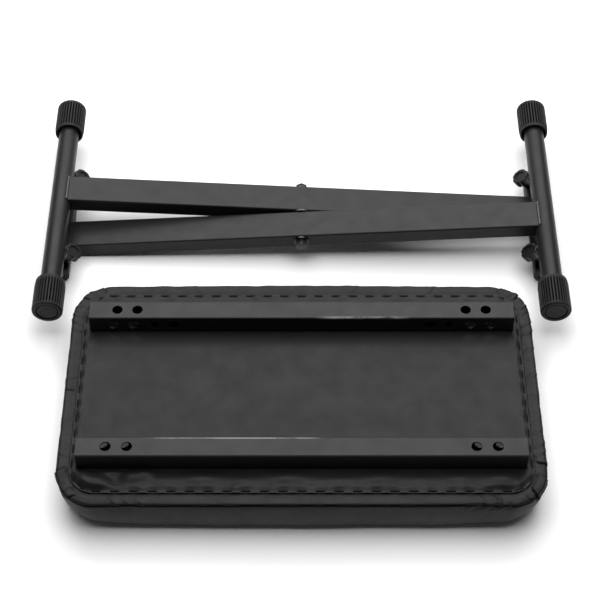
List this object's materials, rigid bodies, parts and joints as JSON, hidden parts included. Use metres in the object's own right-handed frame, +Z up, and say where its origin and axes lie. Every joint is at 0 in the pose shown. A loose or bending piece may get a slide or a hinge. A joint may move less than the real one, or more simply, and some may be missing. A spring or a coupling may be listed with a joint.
{
  "type": "piano bench",
  "caption": "Padded rectangular piano bench seat on two square rails, with its folding X-frame of steel tube, laid out face down and unassembled.",
  "frame": {"origin": "middle of the footprint of the seat and the folded frame, on the surface that both lie on", "axes": "+X along the seat's length, +Y from the seat towards the folded frame, +Z up, away from the surface; the seat lies on its top face"},
  "size_m": [0.6304, 0.6028, 0.077],
  "materials": {
    "vinyl": "satin",
    "foam": "matte",
    "board": "matte",
    "lining": "matte",
    "staple_wire": "satin",
    "rail_paint": "satin",
    "black_screw": "satin",
    "zinc": "satin",
    "black_zinc": "satin",
    "frame_paint": "satin",
    "weld_paint": "satin",
    "cap_rubber": "matte",
    "knob_plastic": "matte",
    "pin_steel": "satin"
  },
  "bodies": {
    "seat": {"seat_cover": "vinyl", "seat_foam": "foam", "seat_board": "board", "underside_lining": "lining", "staples": "staple_wire", "seat_rail_front": "rail_paint", "seat_rail_rear": "rail_paint", "rail_screws": "black_screw", "tee_nuts": "zinc"},
    "pivot": {"pivot_bolt": "black_zinc", "pivot_nut": "black_zinc", "pivot_washers": "black_zinc", "pivot_spacer": "zinc"},
    "leg_a": {"leg_tube_a": "frame_paint", "foot_tube_a": "frame_paint", "top_bar_a": "frame_paint", "weld_beads_a": "weld_paint", "pivot_bush_a": "zinc", "foot_cap_a_front": "cap_rubber", "foot_cap_a_rear": "cap_rubber", "pin_guide_a_front": "knob_plastic", "pin_guide_a_rear": "knob_plastic"},
    "leg_b": {"leg_tube_b": "frame_paint", "foot_tube_b": "frame_paint", "top_bar_b": "frame_paint", "weld_beads_b": "weld_paint", "pivot_bush_b": "zinc", "foot_cap_b_front": "cap_rubber", "foot_cap_b_rear": "cap_rubber", "pin_guide_b_front": "knob_plastic", "pin_guide_b_rear": "knob_plastic"},
    "pin_a_front": {"locking_pin_a_front": "pin_steel"},
    "knob_a_front": {"knob_a_front": "knob_plastic", "knob_stud_a_front": "zinc"},
    "pin_a_rear": {"locking_pin_a_rear": "pin_steel"},
    "knob_a_rear": {"knob_a_rear": "knob_plastic", "knob_stud_a_rear": "zinc"},
    "pin_b_front": {"locking_pin_b_front": "pin_steel"},
    "knob_b_front": {"knob_b_front": "knob_plastic", "knob_stud_b_front": "zinc"},
    "pin_b_rear": {"locking_pin_b_rear": "pin_steel"},
    "knob_b_rear": {"knob_b_rear": "knob_plastic", "knob_stud_b_rear": "zinc"}
  },
  "joints": [
    {"name": "frame_placing", "type": "slide", "parent": "seat", "child": "pivot", "axis": [0, -0.6957, 0.7183], "range_m": [0, 0.40319]},
    {"name": "leg_b_fold", "type": "hinge", "parent": "pivot", "child": "leg_b", "pos_m": [0, 0.136, 0.03001], "axis": [0, -1, 0], "range_deg": [0, 56.3]},
    {"name": "leg_a_fold", "type": "hinge", "parent": "pivot", "child": "leg_a", "pos_m": [0, 0.136, 0.03001], "axis": [0, 1, 0], "range_deg": [0, 56.3]},
    {"name": "pin_a_front_slide", "type": "slide", "parent": "leg_a", "child": "pin_a_front", "axis": [0, -1, 0], "range_m": [0, 0.011]},
    {"name": "knob_a_front_turn", "type": "hinge", "parent": "pin_a_front", "child": "knob_a_front", "pos_m": [0.29399, 0.074, 0.011], "axis": [-0.592, 0, 0.8059], "range_deg": [0, 360]},
    {"name": "pin_a_rear_slide", "type": "slide", "parent": "leg_a", "child": "pin_a_rear", "axis": [0, 1, 0], "range_m": [0, 0.011]},
    {"name": "knob_a_rear_turn", "type": "hinge", "parent": "pin_a_rear", "child": "knob_a_rear", "pos_m": [0.29399, 0.198, 0.011], "axis": [-0.592, 0, 0.8059], "range_deg": [0, 360]},
    {"name": "pin_b_front_slide", "type": "slide", "parent": "leg_b", "child": "pin_b_front", "axis": [0, -1, 0], "range_m": [0, 0.011]},
    {"name": "knob_b_front_turn", "type": "hinge", "parent": "pin_b_front", "child": "knob_b_front", "pos_m": [-0.29399, 0.074, 0.011], "axis": [0.592, 0, 0.8059], "range_deg": [0, 360]},
    {"name": "pin_b_rear_slide", "type": "slide", "parent": "leg_b", "child": "pin_b_rear", "axis": [0, 1, 0], "range_m": [0, 0.011]},
    {"name": "knob_b_rear_turn", "type": "hinge", "parent": "pin_b_rear", "child": "knob_b_rear", "pos_m": [-0.29399, 0.198, 0.011], "axis": [0.592, 0, 0.8059], "range_deg": [0, 360]}
  ],
  "couplings": [
    {"joint": "leg_a_fold", "follows": "leg_b_fold", "ratio": 1}
  ]
}
